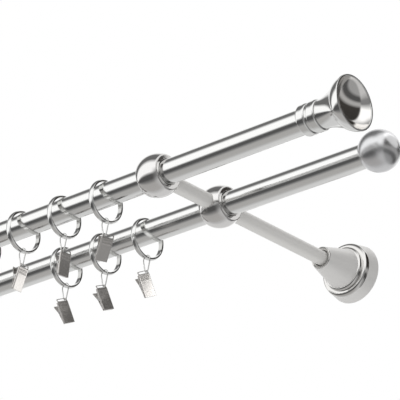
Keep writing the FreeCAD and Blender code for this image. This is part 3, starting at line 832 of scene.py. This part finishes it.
@dataclass
class Studio:
    """World light: white for the camera, even for matt things, banded for mirrors.

    The left bands give way to the right ones from side_from to side_to, by how far a direction
    points along the poles. The shade hangs round shade_way and fades by the cosine to it.
    """

    ambient: float = 0.80
    side_from: float = -0.05
    side_to: float = 0.45
    shade_way: tuple[float, float, float] = (0.894, 0.447, 0.0)
    shade_from: float = 0.44
    shade_to: float = 0.54
    floor_sides: int = 96
    floor_radius: float = 1.3
    floor_place: tuple[float, float, float] = (0.0, -0.2, -1.7)
    lamp_width: float = 1.6
    lamp_watts: float = 22.0
    lamp_place: tuple[float, float, float] = (0.6, -1.6, 1.8)

    def ramp(
        self, tree: Tree, value: Socket, bands: tuple[StudioBand, ...], low: float, high: float
    ) -> Socket:
        """A colour ramp of bands over a value.

        Args:
            tree: the world's node tree.
            value: the value that picks the band.
            bands: the bands, in rising order.
            low: the value at the ramp's start.
            high: the value at the ramp's end.

        Returns:
            The colour's socket.
        """
        share = tree.nodes.new("ShaderNodeMapRange")
        share.inputs["From Min"].default_value = low
        share.inputs["From Max"].default_value = high
        tree.links.new(value, share.inputs["Value"])
        node = tree.nodes.new("ShaderNodeValToRGB")
        elements = node.color_ramp.elements
        while len(elements) > 1:
            elements.remove(elements[-1])
        for number, band in enumerate(bands):
            place = (band.start - low) / (high - low)
            element = elements[0] if number == 0 else elements.new(place)
            element.position = place
            element.color = (band.level * (1 + band.warmth), band.level, band.level * (1 - band.warmth), 1.0)
        tree.links.new(share.outputs["Result"], node.inputs["Fac"])
        return node.outputs["Color"]

    def mixed(self, tree: Tree, factor: Socket, one: Socket, other: Socket) -> Socket:
        """Mix two colours.

        Args:
            tree: the world's node tree.
            factor: 0 for the first colour and 1 for the second.
            one: the first colour.
            other: the second colour.

        Returns:
            The mixed colour's socket.
        """
        node = tree.nodes.new("ShaderNodeMix")
        node.data_type = "RGBA"
        tree.links.new(factor, node.inputs["Factor"])
        tree.links.new(one, node.inputs["A"])
        tree.links.new(other, node.inputs["B"])
        return node.outputs["Result"]

    def step(self, tree: Tree, value: Socket, low: float, high: float) -> Socket:
        """Rise smoothly from 0 to 1 between two values.

        Args:
            tree: the world's node tree.
            value: the value.
            low: where the rise starts.
            high: where it ends.

        Returns:
            The factor's socket.
        """
        node = tree.nodes.new("ShaderNodeMapRange")
        node.interpolation_type = "SMOOTHSTEP"
        node.inputs["From Min"].default_value = low
        node.inputs["From Max"].default_value = high
        tree.links.new(value, node.inputs["Value"])
        return node.outputs["Result"]

    def mirrored_light(self, tree: Tree) -> Socket:
        """What polished pieces see of the studio, by direction.

        Args:
            tree: the world's node tree.

        Returns:
            The colour's socket.
        """
        coords = tree.nodes.new("ShaderNodeTexCoord")
        split = tree.nodes.new("ShaderNodeSeparateXYZ")
        tree.links.new(coords.outputs["Generated"], split.inputs[0])
        out = tree.nodes.new("ShaderNodeMath")
        out.operation = "MULTIPLY"
        out.inputs[1].default_value = -1.0
        tree.links.new(split.outputs["Y"], out.inputs[0])
        angle = tree.nodes.new("ShaderNodeMath")
        angle.operation = "ARCTAN2"
        tree.links.new(split.outputs["Z"], angle.inputs[0])
        tree.links.new(out.outputs[0], angle.inputs[1])
        degrees = tree.nodes.new("ShaderNodeMath")
        degrees.operation = "DEGREES"
        tree.links.new(angle.outputs[0], degrees.inputs[0])
        left = self.ramp(tree, degrees.outputs[0], LEFT_BANDS, -HALF_TURN, HALF_TURN)
        right = self.ramp(tree, degrees.outputs[0], RIGHT_BANDS, -HALF_TURN, HALF_TURN)
        to_right = self.step(tree, split.outputs["X"], self.side_from, self.side_to)
        sides = self.mixed(tree, to_right, left, right)
        shade = self.ramp(tree, split.outputs["Z"], RIGHT_SHADE, -1.0, 1.0)
        toward = tree.nodes.new("ShaderNodeVectorMath")
        toward.operation = "DOT_PRODUCT"
        toward.inputs[1].default_value = self.shade_way
        tree.links.new(coords.outputs["Generated"], toward.inputs[0])
        cap = self.step(tree, toward.outputs["Value"], self.shade_from, self.shade_to)
        return self.mixed(tree, cap, sides, shade)

    def build_world(self) -> None:
        """Make the world and set it."""
        world = bpy.data.worlds.new("studio")
        world.use_nodes = True
        tree = world.node_tree
        tree.nodes.clear()
        mirror = tree.nodes.new("ShaderNodeBackground")
        tree.links.new(self.mirrored_light(tree), mirror.inputs["Color"])
        even = tree.nodes.new("ShaderNodeBackground")
        even.inputs["Color"].default_value = WHITE
        even.inputs["Strength"].default_value = self.ambient
        white = tree.nodes.new("ShaderNodeBackground")
        white.inputs["Color"].default_value = WHITE
        path = tree.nodes.new("ShaderNodeLightPath")
        glossy = tree.nodes.new("ShaderNodeMixShader")
        tree.links.new(path.outputs["Is Glossy Ray"], glossy.inputs[0])
        tree.links.new(even.outputs[0], glossy.inputs[1])
        tree.links.new(mirror.outputs[0], glossy.inputs[2])
        camera = tree.nodes.new("ShaderNodeMixShader")
        tree.links.new(path.outputs["Is Camera Ray"], camera.inputs[0])
        tree.links.new(glossy.outputs[0], camera.inputs[1])
        tree.links.new(white.outputs[0], camera.inputs[2])
        output = tree.nodes.new("ShaderNodeOutputWorld")
        tree.links.new(camera.outputs[0], output.inputs["Surface"])
        bpy.context.scene.world = world

    def build_floor(self) -> None:
        """A pale round floor well below the poles."""
        bpy.ops.mesh.primitive_circle_add(
            vertices=self.floor_sides, radius=self.floor_radius, fill_type="NGON", location=self.floor_place
        )
        floor = bpy.context.active_object
        floor.name = "floor"
        dress(floor, StageWhite().material())
        floor.visible_glossy = False

    def build_lamp(self) -> None:
        """One large soft lamp above the room side, kept out of the mirrors."""
        light = bpy.data.lights.new("soft_lamp", "AREA")
        light.shape = "DISK"
        light.size = self.lamp_width
        light.energy = self.lamp_watts
        lamp = bpy.data.objects.new("soft_lamp", light)
        bpy.context.scene.collection.objects.link(lamp)
        lamp.location = self.lamp_place
        lamp.rotation_euler = Vector(self.lamp_place).to_track_quat("Z", "Y").to_euler()
        lamp.visible_glossy = False

    def build_card(self, card: LightCard, pieces: list[bpy.types.Object]) -> None:
        """Hang one card of light.

        Args:
            card: where it hangs and how bright it is.
            pieces: the pieces that see it.
        """
        light = bpy.data.lights.new(card.name, "AREA")
        light.shape = "DISK"
        light.size = card.size
        area = math.pi * (card.size / 2) ** 2
        light.energy = card.level * math.pi * area
        lamp = bpy.data.objects.new(card.name, light)
        bpy.context.scene.collection.objects.link(lamp)
        way = Vector(card.way)
        lamp.location = Vector(card.aim) + way
        lamp.rotation_euler = way.to_track_quat("Z", "Y").to_euler()
        lit = bpy.data.collections.new("lit_by_" + card.name)
        for piece in pieces:
            lit.objects.link(piece)
        lamp.light_linking.receiver_collection = lit

    def build(self, nodes: dict[str, bpy.types.Object]) -> None:
        """World, floor and lamps.

        Args:
            nodes: the CAD nodes by name.
        """
        self.build_world()
        self.build_floor()
        self.build_lamp()
        for card in CARDS:
            pieces = [node for name, node in nodes.items() if name.startswith(card.name_starts)]
            self.build_card(card, pieces)
        bpy.context.scene.view_settings.view_transform = "Standard"
        LOG.info("studio ready")


@dataclass(frozen=True)
class Viewpoint:
    """The photograph's camera: from below, in front and to the right of the bracket."""

    azimuth: float = 41.6465
    elevation: float = -25.2433
    roll: float = 1.0510
    focal_pixels: float = 2152.2
    place: tuple[float, float, float] = (1.48296, -1.35811, -0.73276)
    nearest: float = 0.05
    farthest: float = 50.0

    def build(self) -> bpy.types.Object:
        """Make the camera and make it the scene's own.

        Returns:
            The camera object.
        """
        turn = math.radians(self.azimuth)
        rise = math.radians(self.elevation)
        back = Vector((math.sin(turn) * math.cos(rise), -math.cos(turn) * math.cos(rise), math.sin(rise)))
        level = Vector((math.cos(turn), math.sin(turn), 0.0))
        upright = back.cross(level)
        lean = math.radians(self.roll)
        right = level * math.cos(lean) + upright * math.sin(lean)
        up = upright * math.cos(lean) - level * math.sin(lean)
        data = bpy.data.cameras.new("camera")
        data.sensor_width = SENSOR_MM
        data.lens = self.focal_pixels / IMAGE_PIXELS * SENSOR_MM
        data.clip_start = self.nearest
        data.clip_end = self.farthest
        camera = bpy.data.objects.new("camera", data)
        bpy.context.scene.collection.objects.link(camera)
        camera.matrix_world = Matrix.Translation(self.place) @ Matrix((right, up, back)).transposed().to_4x4()
        bpy.context.scene.camera = camera
        return camera


def pin_places(joints: list[dict]) -> dict[str, Vector]:
    """Where each clip's pin sits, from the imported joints.

    Args:
        joints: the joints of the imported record.

    Returns:
        The pins' middles by the set's name.
    """
    key = "jaw_pivot_"
    pivots = [joint for joint in joints if joint["name"].startswith(key)]
    return {joint["name"].removeprefix(key): Vector(joint["pos_m"]) for joint in pivots}


def dress_all(nodes: dict[str, bpy.types.Object], pins: dict[str, Vector]) -> None:
    """Dress every node, light the set and place the camera.

    Args:
        nodes: the CAD nodes by name.
        pins: the middle of each clip's pin by the set's name.
    """
    FixedSet(nodes).build()
    RingSets(nodes, pins).build()
    Studio().build(nodes)
    Viewpoint().build()


def main() -> None:
    """Load the frame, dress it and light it."""
    logging.basicConfig(level=logging.INFO, format="%(name)s: %(message)s")
    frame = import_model()
    dress_all(frame["nodes"], pin_places(frame["joints"]))


if __name__ == "__main__":
    main()
